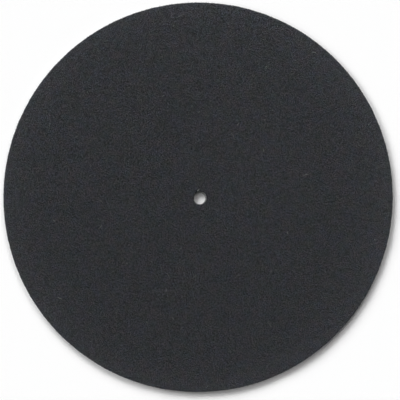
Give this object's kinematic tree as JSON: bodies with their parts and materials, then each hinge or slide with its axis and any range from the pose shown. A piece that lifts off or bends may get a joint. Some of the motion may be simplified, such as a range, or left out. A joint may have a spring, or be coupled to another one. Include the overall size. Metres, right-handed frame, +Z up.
{
  "type": "turntable platter mat",
  "caption": "Flat round mat of pressed felt with a central spindle hole. It lies loose on a record player's platter and cushions and grips the record.",
  "frame": {"origin": "centre of the spindle hole, on the underside that lies on the platter", "axes": "+Z up along the spindle, out of the face that carries the record; +X and +Y lie across the disc, which is round about Z"},
  "size_m": [0.295, 0.295, 0.003],
  "materials": {
    "felt": "matte pressed wool felt, blue-tinged charcoal, with a short nap and a few pale stray fibres"
  },
  "bodies": {
    "root": {"felt_mat": "felt"}
  },
  "joints": []
}
